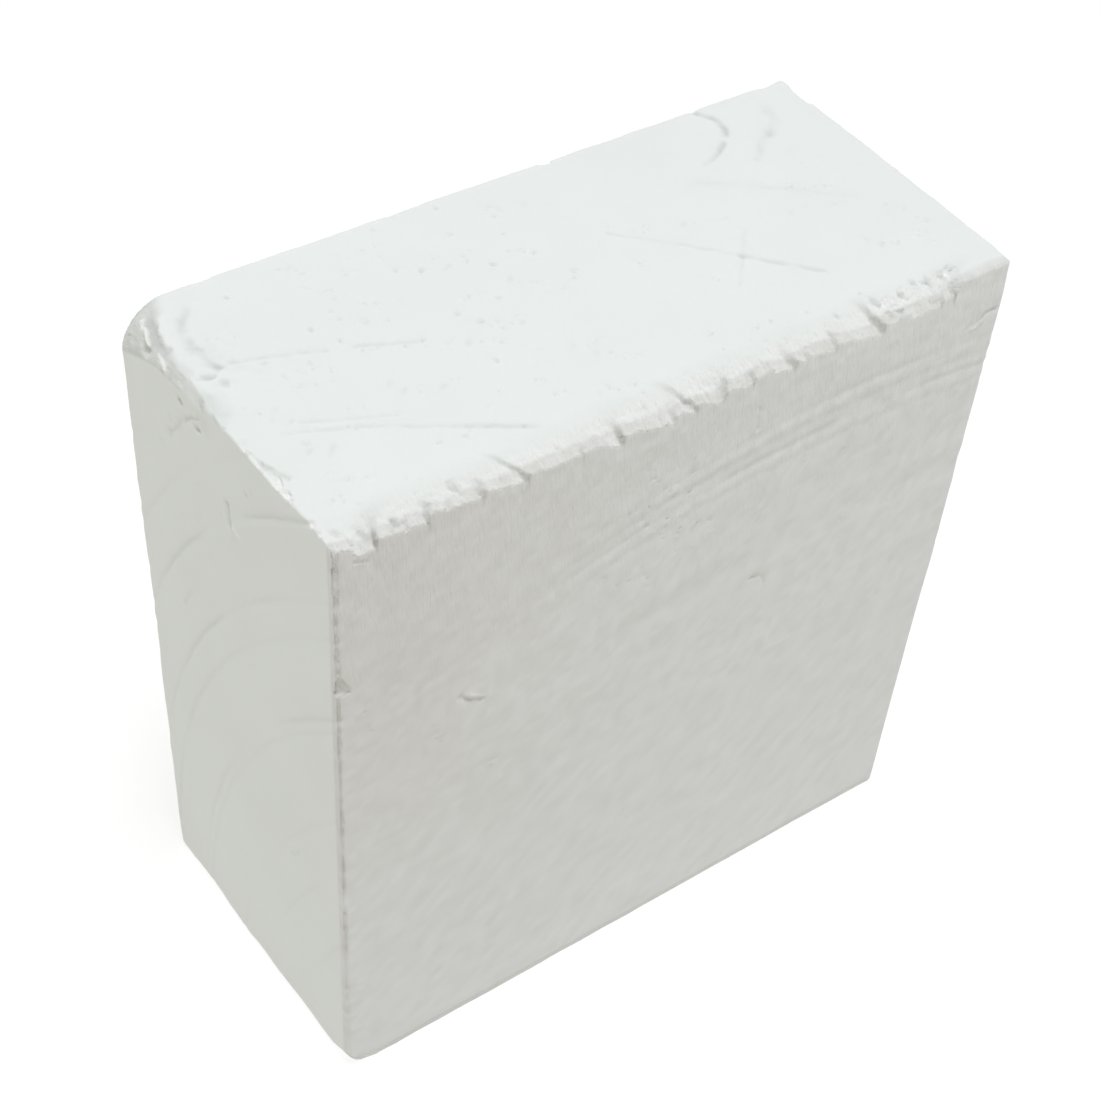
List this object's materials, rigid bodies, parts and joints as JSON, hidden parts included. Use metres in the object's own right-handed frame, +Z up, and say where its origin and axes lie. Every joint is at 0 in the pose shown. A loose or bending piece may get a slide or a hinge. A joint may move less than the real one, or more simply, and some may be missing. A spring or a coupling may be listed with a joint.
{
  "type": "gymnastics chalk block",
  "caption": "Rectangular block of pressed magnesium carbonate chalk with sawn faces, a crumbled top edge and a worn corner, rubbed on the hands for grip.",
  "frame": {"origin": "on the ground at the middle of the block's footprint, with the block standing on a narrow long face", "axes": "+X from the leaning end face to the square one, +Y from the front broad face to the back one, +Z up"},
  "size_m": [0.0613, 0.0286, 0.0632],
  "materials": {
    "chalk": "matte"
  },
  "bodies": {
    "root": {"chalk_block": "chalk"}
  },
  "joints": []
}
